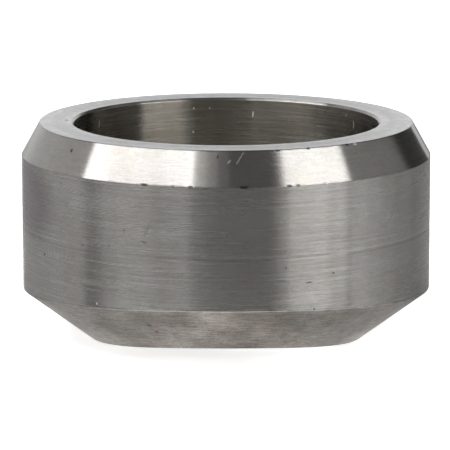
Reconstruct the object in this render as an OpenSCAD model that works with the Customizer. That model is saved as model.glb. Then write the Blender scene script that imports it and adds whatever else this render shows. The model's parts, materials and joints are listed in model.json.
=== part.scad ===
// Branch outlet fitting with a socket-weld outlet: one turned piece of steel.
// Its bored foot is welded over a hole in a run pipe, and the branch pipe slides into its socket.
// Millimetres. The branch axis is Z, the run pipe lies along Y, and the fitting stands on z = 0.

/* [Branch pipe] */
// Outside diameter of the pipe that slides into the socket
pipe_od = 60.3; // [48.3:0.1:73]
// Wall of that pipe, which sets the flow bore
pipe_wall = 5.5; // [3.9:0.1:8.7]
// Gap between the pipe and the socket, on each side
pipe_gap = 0.4; // [0.2:0.05:0.5]

/* [Outlet] */
// Depth of the socket, from the outlet face to the ledge that stops the pipe
socket_depth = 16; // [12:0.5:19]
// Wall of the body around the socket
socket_wall = 10.45; // [8.5:0.05:14]
// Width of the flat ring at the top, mouth chamfer included
face_w = 6.85; // [4:0.05:7.5]
// Slope of the outer bevel below that ring, measured from the axis
top_bevel_angle = 29; // [25:0.5:45]
// Chamfer that breaks the edges of the socket mouth and of the ledge
edge_break = 0.45; // [0.2:0.05:1]

/* [Foot] */
// Outside diameter of the run pipe that the foot is contoured for
run_od = 273; // [219:1:610]
// Height of the outlet face above the crown of the run pipe
crown_h = 40.7; // [37:0.1:60]
// Width of the land between the flow bore and the weld bevel
root_land = 2.9; // [1.6:0.1:5]
// Slope of the weld bevel, measured from the horizontal
weld_bevel_angle = 37; // [30:0.5:45]

/* [Hidden] */
$fn = 144;

// Radii, from the inside out
flow_r = pipe_od / 2 - pipe_wall;
root_r = flow_r + root_land;
socket_r = pipe_od / 2 + pipe_gap;
face_r = socket_r + face_w;
body_r = socket_r + socket_wall;

// Heights, from the lowest points of the foot
run_r = run_od / 2;
crown_z = run_r - sqrt(pow(run_r, 2) - pow(root_r, 2));
top_z = crown_z + crown_h;
ledge_z = top_z - socket_depth;
top_bevel_z = top_z - (body_r - face_r) / tan(top_bevel_angle);

// How far the cutters reach past the faces that they cut
reach = 2;

// Height of the run pipe's surface at a distance x from its middle plane
function run_z(x) = crown_z - run_r + sqrt(pow(run_r, 2) - pow(x, 2));

// Height of the weld bevel at radius r and angle a: one slope, carried up and down by the saddle
function weld_bevel_z(r, a) = run_z(root_r * cos(a)) + (r - root_r) * tan(weld_bevel_angle);

// Section of the turned blank, before the foot is shaped
module blank_section() {
    polygon([
        [flow_r, -reach],
        [body_r, -reach],
        [body_r, top_bevel_z],
        [face_r, top_z],
        [socket_r + edge_break, top_z],
        [socket_r, top_z - edge_break],
        [socket_r, ledge_z],
        [flow_r + edge_break, ledge_z],
        [flow_r, ledge_z - edge_break],
    ]);
}

// The run pipe, which hollows the underside into a saddle
module run_pipe() {
    translate([0, 0, crown_z - run_r])
        rotate([90, 0, 0])
            cylinder(r = run_r, h = 2 * (body_r + reach), center = true);
}

// Ring below the weld bevel. Each step round it has the same section, raised to follow the saddle.
module weld_bevel_cutter() {
    inner_r = root_r - reach;
    outer_r = body_r + reach;
    floor_z = weld_bevel_z(inner_r, 0) - reach;
    rings = [
        for (i = [0 : $fn - 1])
            let (a = i * 360 / $fn, c = cos(a), s = sin(a))
            each [
                [inner_r * c, inner_r * s, floor_z],
                [outer_r * c, outer_r * s, floor_z],
                [outer_r * c, outer_r * s, weld_bevel_z(outer_r, a)],
                [inner_r * c, inner_r * s, weld_bevel_z(inner_r, a)],
            ]
    ];
    sides = [
        for (i = [0 : $fn - 1], k = [0 : 3])
            let (
                near = 4 * i,
                far = 4 * ((i + 1) % $fn),
                next = (k + 1) % 4
            )
            each [
                [near + k, far + next, far + k],
                [near + k, near + next, far + next],
            ]
    ];
    polyhedron(points = rings, faces = sides);
}

module outlet_body() {
    color("silver")
        difference() {
            rotate_extrude() blank_section();
            run_pipe();
            weld_bevel_cutter();
        }
}

outlet_body();
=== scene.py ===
"""Looks of a socket-weld branch outlet fitting: one turned piece of stainless steel on a pale studio floor.

Metres, in the frame of the CAD part: Z is the branch axis, the run pipe lies along Y, and the foot stands
on z = 0. Angles round the axis are in degrees from -Y, the picture's camera side, and grow to its right.
"""

import json
import math

import bpy
import numpy as np
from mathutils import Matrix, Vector


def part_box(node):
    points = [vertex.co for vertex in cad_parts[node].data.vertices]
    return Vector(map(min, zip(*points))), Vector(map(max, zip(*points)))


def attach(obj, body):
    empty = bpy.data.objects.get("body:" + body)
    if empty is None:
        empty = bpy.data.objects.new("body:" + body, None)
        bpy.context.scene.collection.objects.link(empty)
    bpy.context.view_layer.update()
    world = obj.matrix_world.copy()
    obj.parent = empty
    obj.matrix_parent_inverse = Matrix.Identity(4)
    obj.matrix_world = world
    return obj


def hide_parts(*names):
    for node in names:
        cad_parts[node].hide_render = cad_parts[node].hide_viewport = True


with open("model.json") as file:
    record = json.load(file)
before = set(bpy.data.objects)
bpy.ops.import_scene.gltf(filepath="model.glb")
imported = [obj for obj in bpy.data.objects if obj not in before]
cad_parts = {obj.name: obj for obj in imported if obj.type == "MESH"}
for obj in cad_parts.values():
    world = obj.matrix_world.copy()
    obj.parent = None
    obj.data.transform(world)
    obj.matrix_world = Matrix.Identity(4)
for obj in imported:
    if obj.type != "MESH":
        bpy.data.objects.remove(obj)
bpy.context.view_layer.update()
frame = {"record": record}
MM = 0.001
mounts = {mount["name"]: mount for mount in frame["record"]["mounts"]}

# Sizes of the fitting, from the frame
_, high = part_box("outlet_body")
body_r = high.x
top_z = high.z
socket_r = mounts["branch_socket"]["dims"]["r_mm"] * MM
flow_r = mounts["flow_bore"]["dims"]["r_mm"] * MM
crown_z = mounts["run_pipe_saddle"]["pos_m"][2]

# Sizes that the frame doesn't give, as the CAD source has them
socket_depth = 16 * MM
face_w = 6.85 * MM
top_bevel_slope = math.tan(math.radians(29))
edge_break = 0.45 * MM
root_land = 2.9 * MM
weld_bevel_slope = math.tan(math.radians(37))

ledge_z = top_z - socket_depth
face_r = socket_r + face_w
top_bevel_z = top_z - (body_r - face_r) / top_bevel_slope
root_r = flow_r + root_land
run_r = (root_r**2 + crown_z**2) / (2 * crown_z)

# Where two turning passes meet on the body: a groove too shallow to measure, but not to see
pass_line_z = top_z - 20.4 * MM
pass_line_w = 1.0 * MM
pass_line_depth = 0.03 * MM

# Radius left on an edge by deburring, and in the socket's corner by the nose of the tool
deburred = 0.22 * MM
tool_nose = 0.8 * MM


def run_z(x):
    """Height of the run pipe's surface at x."""
    return crown_z - run_r + math.sqrt(run_r**2 - x**2)


# The turned body

# Steps of the mesh round the axis, and round each corner of its section
TURNS = 1200
ARC_STEPS = 3

# How far beside a corner its extra rows lie. The first keeps the shading of the flat next to it even.
# Only the outer edges have the second, by which the darkening of a knock has faded out.
SUPPORT = 0.12 * MM
GUARD = 0.3 * MM

FINISHES = ("bored", "faced", "bevelled", "turned", "weld_bevel", "pale_edge")

# The outer edges, by their places in the list of corners
FACE_EDGE, SHOULDER, FOOT_EDGE = 6, 7, 11
OUTER_EDGES = (FACE_EDGE, SHOULDER, FOOT_EDGE)

# Knocks on the outer edges: corner, angle, and half width and depth in millimetres.
# The first ten show in the picture.
NICKS = [
    (SHOULDER, -22.3, 0.75, 0.06),
    (SHOULDER, -14.2, 0.45, 0.03),
    (SHOULDER, -9.4, 0.5, 0.04),
    (SHOULDER, 4.8, 1.1, 0.05),
    (SHOULDER, 16.9, 0.6, 0.06),
    (SHOULDER, 19.5, 0.5, 0.06),
    (SHOULDER, 27.4, 0.5, 0.03),
    (FACE_EDGE, 15.0, 0.5, 0.04),
    (FACE_EDGE, 24.7, 0.5, 0.05),
    (FACE_EDGE, 38.4, 0.6, 0.06),
    (SHOULDER, 96, 0.6, 0.05),
    (SHOULDER, 131, 0.5, 0.04),
    (SHOULDER, 177, 0.8, 0.06),
    (SHOULDER, 208, 0.5, 0.04),
    (SHOULDER, 262, 0.6, 0.05),
    (FACE_EDGE, 118, 0.5, 0.04),
    (FACE_EDGE, 221, 0.6, 0.05),
    (FOOT_EDGE, 77, 0.7, 0.06),
    (FOOT_EDGE, 163, 0.6, 0.05),
    (FOOT_EDGE, 240, 0.6, 0.05),
]

# Deepest uneven wear between the knocks, and the depth at which an edge is drawn fully dark
UNEVEN = 0.012 * MM
FULL_KNOCK = 0.045 * MM

# Waves round an edge that make up its uneven wear, and the sum of them that counts as the deepest
WEAR_WAVES = range(9, 90, 4)
FULL_WAVE = 5

# How dark the outer edges are painted all round, from 0 to 1: a thin line of painted shade
PAINTED_EDGE_SHADE = {FACE_EDGE: 0.35, SHOULDER: 0.35, FOOT_EDGE: 0}


def section_corners(turn):
    """Corners of the section at an angle, up the bore and down outside.

    Each is radius, height, rounding, and the finish of the stretch to the next corner.
    """
    root_z = run_z(root_r * math.cos(turn))
    foot_z = root_z + (body_r - root_r) * weld_bevel_slope
    half_line = pass_line_w / 2
    return [
        (flow_r, run_z(flow_r * math.cos(turn)), deburred, "bored"),
        (flow_r, ledge_z - edge_break, deburred / 2, "bored"),
        (flow_r + edge_break, ledge_z, deburred / 2, "bored"),
        (socket_r, ledge_z, tool_nose, "bored"),
        (socket_r, top_z - edge_break, deburred / 2, "bevelled"),
        (socket_r + edge_break, top_z, deburred / 2, "faced"),
        (face_r, top_z, deburred, "bevelled"),
        (body_r, top_bevel_z, deburred, "turned"),
        (body_r, pass_line_z + half_line, 0, "turned"),
        (body_r - pass_line_depth, pass_line_z, 0, "turned"),
        (body_r, pass_line_z - half_line, 0, "turned"),
        (body_r, foot_z, deburred, "weld_bevel"),
        (root_r, root_z, deburred, "weld_bevel"),
    ]


def rounded_corner(here, back, ahead, radius):
    """Points of the arc that rounds a corner, given the ways back and ahead along the section."""
    half = back.angle(ahead) / 2
    start = here + back * radius / math.tan(half)
    end = here + ahead * radius / math.tan(half)
    centre = here + (back + ahead).normalized() * radius / math.sin(half)
    first = math.atan2(start.y - centre.y, start.x - centre.x)
    last = math.atan2(end.y - centre.y, end.x - centre.x)
    sweep = math.remainder(last - first, math.tau)
    arc = [first + sweep * step / ARC_STEPS for step in range(ARC_STEPS + 1)]
    return [centre + Vector((math.cos(a), math.sin(a))) * radius for a in arc]


def rounded_section(corners):
    """Points round a closed section with its corners rounded.

    For each point it also gives the corner that it rounds, or -1, the way between that corner's sides,
    and the finish of the stretch to the next point.
    """
    spots = [Vector(corner[:2]) for corner in corners]
    points, rounds, inward, finishes = [], [], [], []
    for i, (_, _, radius, finish) in enumerate(corners):
        here, after = spots[i], spots[(i + 1) % len(spots)]
        back, ahead = (spots[i - 1] - here).normalized(), (after - here).normalized()
        row = rounded_corner(here, back, ahead, radius) if radius else [here]
        gaps = [SUPPORT, GUARD] if i in OUTER_EDGES else [SUPPORT]
        before = [row[0] + back * gap for gap in reversed(gaps)]
        behind = [row[-1] + ahead * gap for gap in gaps]
        edge_finish = "pale_edge" if i == FOOT_EDGE else finish
        points += before + row + behind
        rounds += [-1] * len(before) + [i] * len(row) + [-1] * len(behind)
        inward += [(back + ahead).normalized()] * len(before + row + behind)
        finishes += [FINISHES.index(corners[i - 1][3])] * len(before)
        finishes += [FINISHES.index(edge_finish)] * (len(row) - 1)
        finishes += [FINISHES.index(finish)] * (1 + len(behind))
    return points, rounds, inward, finishes


def edge_wear(corner, turns):
    """How far the edge at a corner is worn back, at each turn from +X."""
    rng = np.random.default_rng(corner)
    waves = sum(np.cos(n * turns + rng.uniform(0, math.tau)) for n in WEAR_WAVES) / FULL_WAVE
    worn = UNEVEN * np.clip(waves, 0, 1)
    for place, angle, half, depth in NICKS:
        if place == corner:
            off = (np.degrees(turns) + 90 - angle + 180) % 360 - 180
            off_mm = np.radians(off) * body_r / MM
            worn = np.maximum(worn, depth * MM * np.clip(1 - (off_mm / half) ** 2, 0, 1))
    return worn


def turned_body():
    """The whole fitting as one closed mesh, lofted through its sections."""
    turns = np.arange(TURNS) * math.tau / TURNS
    sections = []
    for turn in turns:
        points, rounds, inward, finishes = rounded_section(section_corners(turn))
        sections.append(points)
    profile = np.array(sections)
    edge_darkness = np.zeros(profile.shape[:2])
    for row, corner in enumerate(rounds):
        if corner in OUTER_EDGES:
            worn = edge_wear(corner, turns)
            profile[:, row] += worn[:, None] * np.array(inward[row])
            # Painted shade: a thin dark line all round the face edge and the shoulder
            edge_darkness[:, row] = np.maximum(edge_darkness[:, row], PAINTED_EDGE_SHADE[corner])
            # The darkening of a knock reaches one row to each side
            for near in (row - 1, row, row + 1):
                edge_darkness[:, near] = np.maximum(edge_darkness[:, near], np.clip(worn / FULL_KNOCK, 0, 1))
    cos, sin = np.cos(turns)[:, None], np.sin(turns)[:, None]
    spots = np.stack([profile[..., 0] * cos, profile[..., 0] * sin, profile[..., 1]], -1)

    rows = profile.shape[1]
    here = np.arange(TURNS)[:, None] * rows + np.arange(rows)
    beside = np.roll(here, -1, 0)
    quads = np.stack([here, np.roll(here, -1, 1), np.roll(beside, -1, 1), beside], -1)
    mesh = bpy.data.meshes.new("turned_body")
    mesh.from_pydata(spots.reshape(-1, 3), [], quads.reshape(-1, 4).tolist())
    mesh.shade_smooth()
    mesh.polygons.foreach_set("material_index", np.tile(finishes, TURNS).astype(np.int32))
    # Darkening of the knocks and their wear, and painted shade along the face edge and the shoulder
    mesh.attributes.new("edge_darkness", "FLOAT", "POINT").data.foreach_set("value", edge_darkness.ravel())
    body = bpy.data.objects.new("turned_body", mesh)
    bpy.context.scene.collection.objects.link(body)
    return body


# Materials

# Kinds of node that come up often
VECTOR = "ShaderNodeVectorMath"
MATH = "ShaderNodeMath"
RANGE = "ShaderNodeMapRange"
NOISE = "ShaderNodeTexNoise"
MIX = "ShaderNodeMix"

# Sockets of a mix of two colours, and of its result
FIRST, SECOND, MIXED = 6, 7, 2

# How far round the body a groove of the tool keeps its depth, and a streak where the tool tore or rubbed
GROOVE_LENGTH_MM = 20.5
STREAK_LENGTH_MM = GROOVE_LENGTH_MM / 8

# A dark colour, bare metal, a dull purplish smear, and how far the first two cover
# The dark colour is dirt in pits, darkens knocks, and paints shade along the face edge and the shoulder
GRIME_AND_EDGE_SHADE = "2E2B28"
# Bare metal shows in scratches, and in one painted glint on the top bevel
FRESH_CUT_AND_GLINT = "F0EEEA"
SMEAR = "979193"
GRIME_AND_EDGE_SHADE_COVER = 0.85
FRESH_CUT_AND_GLINT_COVER = 0.8


def linear(code):
    """A colour written as sRGB hex, as linear RGBA."""
    parts = [int(code[i : i + 2], 16) / 255 for i in (0, 2, 4)]
    return [p / 12.92 if p <= 0.04045 else ((p + 0.055) / 1.055) ** 2.4 for p in parts] + [1]


def add(tree, kind, values=(), links=(), **settings):
    """Adds a node with its own settings, fixed values for its sockets, and the sockets that feed it."""
    made = tree.nodes.new(kind)
    for name, value in settings.items():
        setattr(made, name, value)
    for socket, value in dict(values).items():
        made.inputs[socket].default_value = value
    for socket, source in dict(links).items():
        tree.links.new(source, made.inputs[socket])
    return made


def new_material(name):
    """An empty node material and its tree."""
    material = bpy.data.materials.new(name)
    material.use_nodes = True
    material.node_tree.nodes.clear()
    return material, material.node_tree


def on_body(angle, radius_mm, height_mm):
    """A place on the fitting, in millimetres."""
    a = math.radians(angle)
    return Vector((radius_mm * math.sin(a), -radius_mm * math.cos(a), height_mm))


def strokes(tree, place_mm, marks):
    """Mask of soft straight marks, each from one place to another and so many millimetres wide.

    A mark is solid up to one share of its width from its middle line, and has faded out at the other.
    """
    solid, faded = 0.25, 0.6
    mask = None
    for start, end, width in marks:
        start, end = on_body(*start), on_body(*end)
        run = end - start
        pace = run / run.length_squared
        away = add(tree, VECTOR, {1: start}, {0: place_mm}, operation="SUBTRACT").outputs[0]
        share = add(tree, VECTOR, {1: pace}, {0: away}, operation="DOT_PRODUCT").outputs["Value"]
        held = add(tree, "ShaderNodeClamp", links={"Value": share}).outputs[0]
        nearest = add(tree, VECTOR, {0: run}, {"Scale": held}, operation="SCALE").outputs[0]
        gap = add(tree, VECTOR, links={0: away, 1: nearest}, operation="DISTANCE").outputs["Value"]
        fade = {"From Min": width * solid, "From Max": width * faded, "To Min": 1, "To Max": 0}
        stroke = add(tree, RANGE, fade, {"Value": gap}).outputs["Result"]
        if mask:
            stroke = add(tree, MATH, links={0: mask, 1: stroke}, operation="MAXIMUM").outputs[0]
        mask = stroke
    return mask


def places(tree):
    """A point's place in millimetres, its direction from the axis, and its radius and height together."""
    place = add(tree, "ShaderNodeTexCoord").outputs["Object"]
    place_mm = add(tree, VECTOR, {"Scale": 1 / MM}, {0: place}, operation="SCALE").outputs[0]
    flat = add(tree, VECTOR, {1: (1, 1, 0)}, {0: place_mm}, operation="MULTIPLY").outputs[0]
    direction = add(tree, VECTOR, links={0: flat}, operation="NORMALIZE").outputs[0]
    radius = add(tree, VECTOR, links={0: flat}, operation="LENGTH").outputs["Value"]
    height = add(tree, "ShaderNodeSeparateXYZ", links={0: place_mm}).outputs["Z"]
    section = add(tree, "ShaderNodeCombineXYZ", links={"X": radius, "Y": height}).outputs[0]
    return place_mm, direction, section


def tool_marks(tree, direction, section, groove_mm, across):
    """The grooves that the tool leaves round the axis, and the shorter streaks among them.

    A real feed is too fine to show in the picture, so the grooves are drawn as coarse as they need to be.
    """
    pace = (across[0] / groove_mm, across[1] / groove_mm, 0)
    along = add(tree, VECTOR, {1: pace}, {0: section}, operation="DOT_PRODUCT").outputs["Value"]
    groove = add(tree, "ShaderNodeCombineXYZ", links={"Z": along}).outputs[0]
    marks = []
    for length_mm in (GROOVE_LENGTH_MM, STREAK_LENGTH_MM):
        cells = (body_r / MM / length_mm,) * 3
        parts = {0: direction, 2: groove}
        at = add(tree, VECTOR, {1: cells}, parts, operation="MULTIPLY_ADD").outputs[0]
        marks.append(add(tree, NOISE, {"Scale": 1, "Detail": 1}, {"Vector": at}).outputs["Fac"])
    return marks


def stained_metal(tree, place_mm, clean, stained, smears):
    """Colour of the metal under cloudy stains of handling and oil, a slight tint, and single smears."""
    stain_mm, tint_mm, tint_share = 14, 6, 0.06
    clouds = {"Scale": 1 / stain_mm, "Detail": 5, "Roughness": 0.6}
    stain = add(tree, NOISE, clouds, {"Vector": place_mm}).outputs["Fac"]
    cover = add(tree, RANGE, {"From Min": 0.35, "From Max": 0.65}, {"Value": stain}).outputs["Result"]
    colours = {FIRST: linear(clean), SECOND: linear(stained)}
    colour = add(tree, MIX, colours, {"Factor": cover}, data_type="RGBA").outputs[MIXED]
    tint = add(tree, NOISE, {"Scale": 1 / tint_mm, "Detail": 2}, {"Vector": place_mm}).outputs["Color"]
    colour = add(
        tree,
        MIX,
        {"Factor": tint_share},
        {FIRST: colour, SECOND: tint},
        data_type="RGBA",
        blend_type="SOFT_LIGHT",
    ).outputs[MIXED]
    if smears:
        layers = {"Factor": strokes(tree, place_mm, smears), FIRST: colour}
        colour = add(tree, MIX, {SECOND: linear(SMEAR)}, layers, data_type="RGBA").outputs[MIXED]
    return colour


def shade(tree, place_mm, section, cuts, contrast, lines):
    """How bright the metal is, as its grooves, a fine grain and single rings round it change that."""
    # The real grain is too fine to show in the picture, so it is drawn as coarse as it needs to be
    grain_mm = 0.45
    grain = add(tree, NOISE, {"Scale": 1 / grain_mm, "Detail": 1}, {"Vector": place_mm}).outputs["Fac"]
    texture = add(tree, MATH, links={0: cuts, 1: grain}, operation="ADD").outputs[0]
    # The texture adds up three noises of about a half each
    middle, spread = 1.5, 0.4
    levels = {
        "From Min": middle - spread,
        "From Max": middle + spread,
        "To Min": 1 - contrast,
        "To Max": 1 + contrast,
    }
    bright = add(tree, RANGE, levels, {"Value": texture}).outputs["Result"]
    # A ring is solid up to one share of its half width, and has faded out at the other
    solid, faded = 0.6, 1.2
    for ring, half_mm, brightness in lines:
        off = add(tree, VECTOR, {1: (*ring, 0)}, {0: section}, operation="DISTANCE").outputs["Value"]
        fade = {
            "From Min": half_mm * solid,
            "From Max": half_mm * faded,
            "To Min": brightness,
            "To Max": 1,
        }
        line = add(tree, RANGE, fade, {"Value": off}).outputs["Result"]
        bright = add(tree, MATH, links={0: bright, 1: line}, operation="MULTIPLY").outputs[0]
    return bright


def dirt_and_edge_shade(tree, place_mm, pits):
    """Mask of what is dark: dirt in pits, in some cells of a rough grid and single, darkened knocks, and
    painted edge shade.
    """
    cell_mm, pit_mm, pitted_share = 6, 0.3, 0.25
    solid = 0.4
    pit_r = pit_mm / cell_mm
    cells = add(tree, "ShaderNodeTexVoronoi", {"Scale": 1 / cell_mm}, {"Vector": place_mm})
    fade = {"From Min": pit_r * solid, "From Max": pit_r, "To Min": 1, "To Max": 0}
    pit = add(tree, RANGE, fade, {"Value": cells.outputs["Distance"]}).outputs["Result"]
    chance = add(tree, "ShaderNodeSeparateColor", links={0: cells.outputs["Color"]}).outputs[0]
    picked = add(tree, MATH, {1: 1 - pitted_share}, {0: chance}, operation="GREATER_THAN").outputs[0]
    dark = add(tree, MATH, links={0: pit, 1: picked}, operation="MULTIPLY").outputs[0]
    masks = [add(tree, "ShaderNodeAttribute", attribute_name="edge_darkness").outputs["Fac"]]
    if pits:
        masks.append(strokes(tree, place_mm, pits))
    for mask in masks:
        dark = add(tree, MATH, links={0: dark, 1: mask}, operation="MAXIMUM").outputs[0]
    return dark


def stainless_steel(
    name,
    *,
    clean,
    stained,
    roughness,
    stretch,
    groove_mm,
    depth_mm,
    contrast,
    across=(1, -1),
    pits=(),
    scars_and_glints=(),
    lines=(),
    smears=(),
):
    """Stainless steel cut by a tool that ran round it. Its grooves stretch each reflection across them.

    Across says how much a millimetre of radius and one of height count along the section. Pits, smears,
    scars and painted glints are marks as in strokes. Lines are rings: radius and height, half width, and
    brightness.
    """
    material, tree = new_material(name)
    place_mm, direction, section = places(tree)
    rings, streaks = tool_marks(tree, direction, section, groove_mm, across)
    cuts = add(tree, MATH, links={0: streaks, 1: rings}, operation="ADD").outputs[0]

    colour = stained_metal(tree, place_mm, clean, stained, smears)
    bright = shade(tree, place_mm, section, cuts, contrast, lines)
    colour = add(tree, "ShaderNodeHueSaturation", links={"Value": bright, "Color": colour}).outputs[0]
    dark = dirt_and_edge_shade(tree, place_mm, pits)
    # Dirt in pits, darkened knocks, and painted shade along the outer edges
    grime_and_shade = add(tree, MATH, {1: GRIME_AND_EDGE_SHADE_COVER}, {0: dark}, operation="MULTIPLY").outputs[0]
    layers = {"Factor": grime_and_shade, FIRST: colour}
    colour = add(tree, MIX, {SECOND: linear(GRIME_AND_EDGE_SHADE)}, layers, data_type="RGBA").outputs[MIXED]

    levels = {"From Min": 0.3, "From Max": 0.7, "To Min": roughness[0], "To Max": roughness[1]}
    gloss = add(tree, RANGE, levels, {"Value": rings}).outputs["Result"]
    if scars_and_glints:
        # A fresh scratch turns some of its metal to every light, so it stays pale where the wall is dark
        # It also draws a painted glint, a pale dot that stays pale in any light
        scar_and_glint = strokes(tree, place_mm, scars_and_glints)
        coarse = add(tree, MATH, {1: FRESH_CUT_AND_GLINT_COVER}, {0: scar_and_glint}, operation="MULTIPLY").outputs[0]
        layers = {"Factor": coarse, FIRST: colour}
        colour = add(tree, MIX, {SECOND: linear(FRESH_CUT_AND_GLINT)}, layers, data_type="RGBA").outputs[MIXED]
        gloss = add(tree, MATH, links={0: gloss, 1: coarse}, operation="MAXIMUM").outputs[0]

    relief = {"Strength": 1, "Distance": depth_mm * MM}
    bump = add(tree, "ShaderNodeBump", relief, {"Height": cuts}).outputs["Normal"]
    tangent = add(tree, "ShaderNodeTangent", direction_type="RADIAL", axis="Z").outputs["Tangent"]
    quarter_turn = 0.25
    steel = add(
        tree,
        "ShaderNodeBsdfPrincipled",
        {"Metallic": 1, "Anisotropic": stretch, "Anisotropic Rotation": quarter_turn},
        {"Base Color": colour, "Roughness": gloss, "Normal": bump, "Tangent": tangent},
    )
    add(tree, "ShaderNodeOutputMaterial", links={"Surface": steel.outputs["BSDF"]})
    return material


def paper(name, code, near, far):
    """Matt paper or cloth.

    Rays from the camera and off the steel see it lifted towards white, by one amount near the fitting and
    by another far from it.
    """
    near_m, far_m = 0.08, 0.5
    material, tree = new_material(name)
    matt = add(tree, "ShaderNodeBsdfDiffuse", {"Color": linear(code)})
    path = add(tree, "ShaderNodeLightPath")
    seen = path.outputs["Is Camera Ray"]
    for ray in ("Is Glossy Ray", "Is Transmission Ray"):
        rays = {0: seen, 1: path.outputs[ray]}
        seen = add(tree, MATH, links=rays, operation="MAXIMUM").outputs[0]
    place = add(tree, "ShaderNodeTexCoord").outputs["Object"]
    away = add(tree, VECTOR, links={0: place}, operation="LENGTH").outputs["Value"]
    levels = {"From Min": near_m, "From Max": far_m, "To Min": near, "To Max": far}
    lift = add(tree, RANGE, levels, {"Value": away}).outputs["Result"]
    amount = add(tree, MATH, links={0: seen, 1: lift}, operation="MULTIPLY").outputs[0]
    glow = add(tree, "ShaderNodeEmission", {"Color": linear("FFFFFF")}, {"Strength": amount})
    both = add(tree, "ShaderNodeAddShader", links={0: matt.outputs["BSDF"], 1: glow.outputs["Emission"]})
    add(tree, "ShaderNodeOutputMaterial", links={"Surface": both.outputs["Shader"]})
    return material


# The object

body = turned_body()

# Radii and heights that marks lie at, in millimetres
socket_mm = socket_r / MM
body_mm = body_r / MM
top_mm = top_z / MM
pass_line_mm = pass_line_z / MM

# Bored deep in the part, and drawn darker and browner than the outside
bored = stainless_steel(
    "bored_stainless_steel",
    clean="928E87",
    stained="7F7A72",
    roughness=(0.23, 0.28),
    stretch=1.0,
    groove_mm=0.35,
    depth_mm=0.012,
    contrast=0.08,
    scars_and_glints=[
        ((-167.3, socket_mm, 41.55), (-167.3, socket_mm, 41.2), 0.24),
        ((-167.0, socket_mm, 36.5), (-167.0, socket_mm, 36.3), 0.28),
        ((-173.6, socket_mm, 41.4), (-173.6, socket_mm, 41.3), 0.24),
        ((169.3, socket_mm, 40.6), (169.5, socket_mm, 39.6), 0.22),
        ((-121.7, socket_mm, 40.8), (-121.4, socket_mm, 39.6), 0.25),
        ((121.0, socket_mm, 40.8), (121.3, socket_mm, 39.4), 0.2),
        ((126.0, socket_mm, 42.0), (126.0, socket_mm, 41.6), 0.2),
    ],
)

# Faced last, with a fine feed: its rings even out to soft, broad ones in a clear, cool grey
faced = stainless_steel(
    "faced_stainless_steel",
    clean="ABACAC",
    stained="9FA09F",
    roughness=(0.18, 0.25),
    stretch=0.8,
    groove_mm=1.2,
    depth_mm=0.015,
    contrast=0.3,
    pits=[((-88.8, 32.0, top_mm), (-91.6, 32.0, top_mm), 0.8)],
    lines=[((33.7, top_mm), 1.5, 0.82)],
)

# The top bevel, cut with the same fine feed on a slope: lamps show in it as clear bands with sharp sides
bevelled = stainless_steel(
    "fine_turned_stainless_steel",
    clean="9B9996",
    stained="8F8C88",
    roughness=(0.19, 0.24),
    stretch=1.0,
    groove_mm=0.3,
    depth_mm=0.005,
    contrast=0.09,
    pits=[
        ((-50.9, 38.57, 41.4), (-50.9, 38.57, 41.3), 0.75),
        ((-2.3, 37.87, 42.66), (-2.5, 38.11, 42.2), 0.25),
    ],
    scars_and_glints=[
        ((5.0, 37.62, 43.1), (3.0, 38.65, 41.25), 0.22),
        ((1.2, 38.36, 41.8), (0.5, 38.65, 41.3), 0.32),
        # A painted glint: the sparkle of a burr beside the face edge's knock, drawn as a pale dot
        ((41.0, 37.5, 43.3), (41.8, 37.55, 43.25), 0.45),
    ],
)

# The body, turned with a coarser feed: its grooves stretch the same lamps into dim bands up the wall.
# Where the passes meet, a painted highlight, a thin bright ring on the groove's lip, lies above a darker
# ring.
turned = stainless_steel(
    "turned_stainless_steel",
    clean="B8B6B3",
    stained="AEABA6",
    roughness=(0.25, 0.28),
    stretch=1.0,
    groove_mm=0.32,
    depth_mm=0.0015,
    contrast=0.12,
    pits=[
        ((-60.1, body_mm, 20.2), (-60.1, body_mm, 20.1), 0.6),
        ((-42.6, body_mm, 23.9), (-42.6, body_mm, 23.8), 0.35),
        ((-33.2, body_mm, 24.6), (-33.2, body_mm, 24.5), 0.35),
        ((-28.4, body_mm, 27.9), (-28.4, body_mm, 27.8), 0.35),
        ((-23.2, body_mm, 26.03), (-21.8, body_mm, 25.8), 0.22),
        ((-20.8, body_mm, 29.8), (-22.4, body_mm, 26.6), 0.12),
        ((22.0, body_mm, 18.1), (23.5, body_mm, 18.1), 0.22),
        ((30.2, body_mm, 19.5), (30.2, body_mm, 19.4), 0.35),
        ((24.3, body_mm, 12.8), (24.3, body_mm, 12.7), 0.35),
    ],
    scars_and_glints=[
        ((-37.4, body_mm, 12.85), (-37.4, body_mm, 12.8), 0.4),
        ((51.7, body_mm, 30.1), (48.7, body_mm, 27.6), 0.14),
        ((50.2, body_mm, 29.6), (48.0, body_mm, 27.9), 0.12),
        ((53.7, body_mm, 29.7), (51.8, body_mm, 28.1), 0.12),
    ],
    # The first ring is a painted highlight on the pass line's lip, the second is drawn darker
    lines=[((body_mm, pass_line_mm + 0.4), 0.3, 1.12), ((body_mm, pass_line_mm - 0.2), 0.3, 0.86)],
    smears=[((-82, body_mm, 31), (-67, body_mm, 30), 17)],
)

# The weld bevel, cut by a tool that follows the saddle up and down: torn, wavy marks and a brownish stain
weld_bevel = stainless_steel(
    "cam_turned_stainless_steel",
    clean="9D9892",
    stained="6D6761",
    roughness=(0.34, 0.46),
    stretch=0.8,
    groove_mm=0.5,
    depth_mm=0.06,
    contrast=0.36,
    across=(1 / math.cos(math.atan(weld_bevel_slope)), 0),
    pits=[
        ((-24.5, 35.72, 8.5), (-24.5, 35.72, 8.45), 0.9),
        ((-23.6, 33.4, 6.8), (-23.4, 33.4, 6.8), 0.8),
        ((-35.9, 33.9, 6.64), (-31.3, 34.0, 6.92), 0.2),
    ],
)

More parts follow.
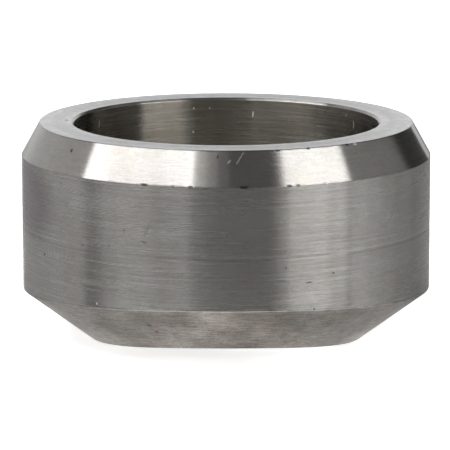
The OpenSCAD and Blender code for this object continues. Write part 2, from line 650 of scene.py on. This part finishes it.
# The foot's edge, drawn in a paler, rougher metal than the bevel: a thin light line
pale_edge = stainless_steel(
    "pale_edge_stainless_steel",
    clean="CCCAC7",
    stained="B4B1AD",
    roughness=(0.4, 0.5),
    stretch=0.0,
    groove_mm=0.6,
    depth_mm=0.001,
    contrast=0.1,
)

# In the order of FINISHES
for finish in (bored, faced, bevelled, turned, weld_bevel, pale_edge):
    body.data.materials.append(finish)
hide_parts("outlet_body")
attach(body, "root")

# The stage

FLOOR_REACH = 3.0
CARD_DISTANCE = 1.5
WALL_CLOTH_REACH = 1.2
SWEEP_STEPS = 24

# Heights of the cloths over the floor, so that the two kinds share no plane with it or each other
RING_CLOTH_Z = 0.5 * MM
WALL_CLOTH_Z = 1 * MM

# Upright cards round the stage: angles from and to, bottom and top, colour, and lift towards white
CARDS = {
    "card_back": (155, 217, 0, 1.0, "C8C8C8", 0.66),
    "card_left": (-143, -87, 0, 1.4, "A0A0A0", 0.68),
    "card_left_high": (-87, -84, 0.5, 1.4, "A0A0A0", 0.72),
    "card_dark_left": (-87, -77, 0, 0.5, "303030", 0.02),
    "card_low_left_1": (-71, -62, 0, 0.5, "C8C8C8", 0.62),
    "card_low_left_2": (-62, -42, 0, 0.52, "D0D0D0", 1.0),
    "card_low_left_3": (-42, -20, 0, 0.5, "C8C8C8", 0.66),
    "card_high_1": (-25, -13, 0.75, 3.0, "F2F2F0", 1.0),
    "card_high_2": (-13, -6, 0.75, 3.0, "A0A0A0", 0.6),
    "card_high_3": (-6, 2, 0.75, 3.0, "808080", 0.32),
    "card_low_right": (34.5, 58, 0, 0.68, "F2F2F0", 1.0),
    "card_right_near_1": (58, 67, 0, 0.58, "A0A0A0", 0.45),
    "card_right_near_2": (67, 76, 0, 0.5, "606060", 0.1),
    "card_right": (76, 96, 0, 1.4, "8C8C8C", 0.4),
    "card_right_far": (96, 124, 0, 1.4, "7C7C7C", 0.36),
    "card_dark": (124, 155, 0, 1.4, "303030", 0.05),
}

# Cloths in the shape of part of a ring: angles from and to, inner and outer radius, colour, and lift
RING_CLOTHS = {
    # The two foot cloths are painted shade: grey sheets under the foot, where its shadow lies, that only
    # the steel sees
    "painted_foot_shade_left": (-130, -14, 0.031, 0.046, "909090", 0.62),
    "painted_foot_shade_right": (20, 130, 0.031, 0.046, "909090", 0.66),
    "grey_cloth_back": (165, 215, 0.046, 1.25, "A2A2A2", 0.3),
}

# Cloths that show in the body's wall: the wall's angles from and to, the gap to the wall, and colour
WALL_CLOTHS = {
    "grey_cloth_left": (-82.5, -42.6, 0.005, "A8A8A8"),
    "black_cloth_left": (-42.6, -38.5, 0.005, "525252"),
    "dark_cloth": (-38.5, 34, 0.011, "767676"),
    "pale_cloth_right_1": (34, 37, 0.005, "949494"),
    "pale_cloth_right_2": (37, 43, 0.005, "E0E0E0"),
    "pale_cloth_right_3": (43, 48, 0.005, "CECECE"),
    "pale_cloth_right_4": (48, 54.5, 0.005, "BCBCBC"),
    "grey_cloth_right": (54.5, 87, 0.005, "A8A8A8"),
}


def sheet(name, spots, faces, material):
    """A plain sheet of the stage."""
    mesh = bpy.data.meshes.new(name)
    mesh.from_pydata(spots, [], faces)
    mesh.materials.append(material)
    obj = bpy.data.objects.new(name, mesh)
    bpy.context.scene.collection.objects.link(obj)
    return obj


def on_floor(angle, distance):
    """A place on the floor."""
    a = math.radians(angle)
    return distance * math.sin(a), -distance * math.cos(a)


def card(name, start, end, bottom, top, code, lift):
    """An upright sheet of paper far from the fitting, hidden from the camera."""
    (x0, y0), (x1, y1) = on_floor(start, CARD_DISTANCE), on_floor(end, CARD_DISTANCE)
    spots = [(x0, y0, bottom), (x1, y1, bottom), (x1, y1, top), (x0, y0, top)]
    material = paper(name.replace("card", "matt_paper"), code, lift, lift)
    sheet(name, spots, [(0, 1, 2, 3)], material).visible_camera = False


def cloth(name, lines, height, code, lift):
    """A matt cloth over the floor that only the steel sees. It is swept from line to line."""
    spots = [(*spot, height) for line in lines for spot in line]
    faces = [(2 * i, 2 * i + 1, 2 * i + 3, 2 * i + 2) for i in range(len(lines) - 1)]
    obj = sheet(name, spots, faces, paper(name, code, lift, lift))
    obj.visible_camera = obj.visible_diffuse = obj.visible_shadow = False


def ring_lines(start, end, inner, outer):
    """Lines out from the axis, from one angle to another."""
    return [(on_floor(a, inner), on_floor(a, outer)) for a in np.linspace(start, end, SWEEP_STEPS + 1)]


def mirrored_lines(start, end, gap):
    """Lines out from the body's wall, which mirrors each as an upright line at the angle it starts from."""
    lines = []
    for a in np.linspace(start, end, SWEEP_STEPS + 1):
        wall, out = Vector(on_floor(a, body_r)), Vector(on_floor(2 * a, 1))
        lines.append((wall + out * gap, wall + out * WALL_CLOTH_REACH))
    return lines


floor_spots = [(FLOOR_REACH * x, FLOOR_REACH * y, 0) for x, y in ((-1, -1), (1, -1), (1, 1), (-1, 1))]
sheet("floor", floor_spots, [(0, 1, 2, 3)], paper("matt_white_paper", "F2F2F0", near=0.75, far=1))
for name, measures in CARDS.items():
    card(name, *measures)
for name, (start, end, inner, outer, code, lift) in RING_CLOTHS.items():
    cloth(name, ring_lines(start, end, inner, outer), RING_CLOTH_Z, code, lift)
for name, (start, end, gap, code) in WALL_CLOTHS.items():
    cloth(name, mirrored_lines(start, end, gap), WALL_CLOTH_Z, code, lift=0)


def softbox(name, *, azimuth, elevation, distance, size, lean, roll, watts):
    """A soft lamp that faces the fitting. From upright it leans over and rolls, by so many degrees."""
    a, e = math.radians(azimuth), math.radians(elevation)
    lamp = bpy.data.lights.new(name, "AREA")
    lamp.shape = "RECTANGLE"
    lamp.size, lamp.size_y = size
    lamp.energy = watts
    obj = bpy.data.objects.new(name, lamp)
    away = Vector((math.sin(a) * math.cos(e), -math.cos(a) * math.cos(e), math.sin(e)))
    obj.location = Vector((0, 0, top_z / 2)) + away * distance
    obj.rotation_euler = (math.radians(90 - lean), math.radians(roll), a)
    bpy.context.scene.collection.objects.link(obj)


# The rolls let the grooves stretch each lamp along its sides, so that its bands in the steel end sharply
softbox(
    "softbox_left",
    azimuth=-62,
    elevation=55,
    distance=0.75,
    size=(0.76, 0.48),
    lean=22,
    roll=-27,
    watts=5.7,
)
softbox(
    "softbox_right",
    azimuth=58.6,
    elevation=41,
    distance=0.81,
    size=(0.5, 0.8),
    lean=0,
    roll=21,
    watts=4.25,
)

# A dim room round the stage
room_level = 0.21
world = bpy.data.worlds.new("studio")
world.use_nodes = True
tree = world.node_tree
tree.nodes.clear()
room = add(tree, "ShaderNodeBackground", {"Color": linear("FFFFFF"), "Strength": room_level})
add(tree, "ShaderNodeOutputWorld", links={"Surface": room.outputs["Background"]})
bpy.context.scene.world = world

# The camera, solved from the outlines of the face, the bore and the body in the picture
picture_px = 450
focal_px = 3459.7
camera_y = -16.725 * body_r
camera_z = top_z + 2.615 * body_r
camera_down = 10.62
off_centre_px = 1.07

camera = bpy.data.cameras.new("camera")
camera.sensor_width = 36
camera.lens = focal_px * camera.sensor_width / picture_px
camera_obj = bpy.data.objects.new("camera", camera)
camera_obj.location = (0, camera_y, camera_z)
camera_obj.rotation_euler = (math.radians(90 - camera_down), 0, math.atan(off_centre_px / focal_px))
bpy.context.scene.collection.objects.link(camera_obj)
bpy.context.scene.camera = camera_obj
bpy.context.scene.view_settings.view_transform = "Standard"
